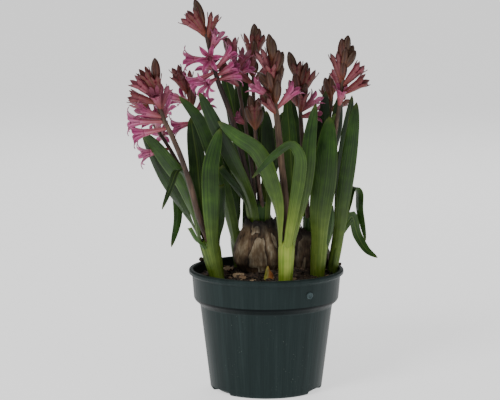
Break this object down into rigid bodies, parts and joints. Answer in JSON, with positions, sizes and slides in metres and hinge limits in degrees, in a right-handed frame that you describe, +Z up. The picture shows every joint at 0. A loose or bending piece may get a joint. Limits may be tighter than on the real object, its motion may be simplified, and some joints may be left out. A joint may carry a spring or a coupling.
{
  "type": "potted hyacinth",
  "caption": "Hyacinth plant in a round plastic nursery pot: strap leaves in shoots, bare bulbs on the soil, and loose spikes of pink florets and dark buds.",
  "frame": {"origin": "middle of the pot's base, on the plane that it stands on", "axes": "+Z up, -Y towards the front of the plant, +X to the viewer's right"},
  "size_m": [0.1942, 0.138, 0.3013],
  "materials": {
    "pot": "dark green-grey moulded nursery plastic, satin, with fine upright streaks",
    "soil": "moist brown-black peat compost with pale bark chips",
    "bulb_skin": "dry brown-grey papery bulb skin, torn and streaked",
    "sprout": "yellow-green shoot tip in a thin papery scale",
    "leaf": "dark green strap leaf, satin, fine lengthwise veins, paler towards the foot",
    "flower": "brown-purple stem, rose-pink open florets and olive-red closed buds"
  },
  "bodies": {
    "root": {"bulb_centre": "bulb_skin", "bulb_right": "bulb_skin", "leaf_back_1": "leaf", "leaf_back_2": "leaf", "leaf_back_3": "leaf", "leaf_back_4": "leaf", "leaf_centre_1": "leaf", "leaf_centre_2": "leaf", "leaf_centre_3": "leaf", "leaf_centre_4": "leaf", "leaf_centre_5": "leaf", "leaf_centre_6": "leaf", "leaf_centre_7": "leaf", "leaf_edge_1": "leaf", "leaf_edge_2": "leaf", "leaf_edge_3": "leaf", "leaf_edge_4": "leaf", "leaf_front_1": "leaf", "leaf_front_2": "leaf", "leaf_front_3": "leaf", "leaf_front_4": "leaf", "leaf_left_1": "leaf", "leaf_left_2": "leaf", "leaf_left_3": "leaf", "leaf_left_4": "leaf", "leaf_left_5": "leaf", "leaf_left_6": "leaf", "leaf_left_7": "leaf", "leaf_left_8": "leaf", "leaf_right_1": "leaf", "leaf_right_2": "leaf", "leaf_right_3": "leaf", "leaf_right_4": "leaf", "leaf_right_5": "leaf", "leaf_wide_1": "leaf", "leaf_wide_2": "leaf", "leaf_wide_3": "leaf", "pot": "pot", "soil": "soil", "spike_back": "flower", "spike_centre_1": "flower", "spike_centre_2": "flower", "spike_centre_3": "flower", "spike_centre_4": "flower", "spike_front": "flower", "spike_left_1": "flower", "spike_left_2": "flower", "spike_right_1": "flower", "spike_right_2": "flower", "spike_wide": "flower", "sprout": "sprout"}
  },
  "joints": []
}
